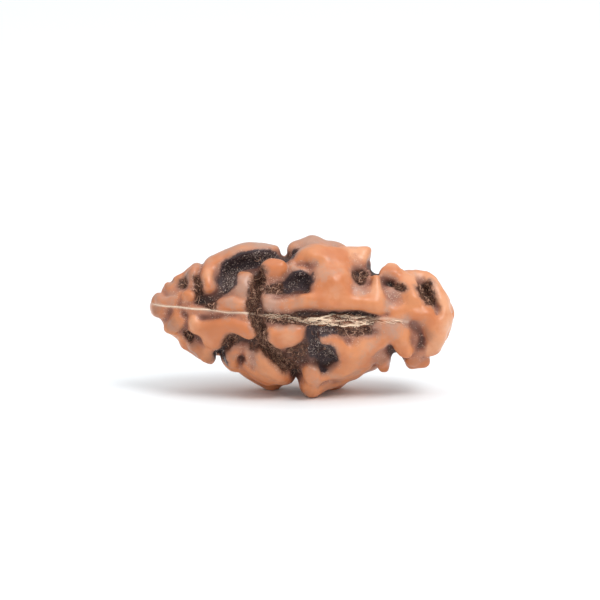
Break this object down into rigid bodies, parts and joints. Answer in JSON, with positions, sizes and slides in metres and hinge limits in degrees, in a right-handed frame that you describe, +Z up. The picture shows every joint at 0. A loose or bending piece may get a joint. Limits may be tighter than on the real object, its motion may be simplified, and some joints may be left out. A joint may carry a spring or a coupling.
{
  "type": "one mukhi rudraksha",
  "caption": "Half-moon seed stone with deeply furrowed plump ridges, dark fibrous pits and a single lengthwise seam, lying on small flats.",
  "frame": {"origin": "on the surface that the stone lies on, under the middle of its box", "axes": "+X along the long axis from the pointed tip to the blunt end, -Y out of the seam side, +Z up"},
  "size_m": [0.0254, 0.0108, 0.0131],
  "materials": {
    "seed_stone": "dry, waxy orange tan on the ridges, brown to black purple in the pits",
    "pulp_fibre": "dull dry fibre, cream to tan"
  },
  "bodies": {
    "root": {"rudraksha_bead": "seed_stone"}
  },
  "joints": []
}
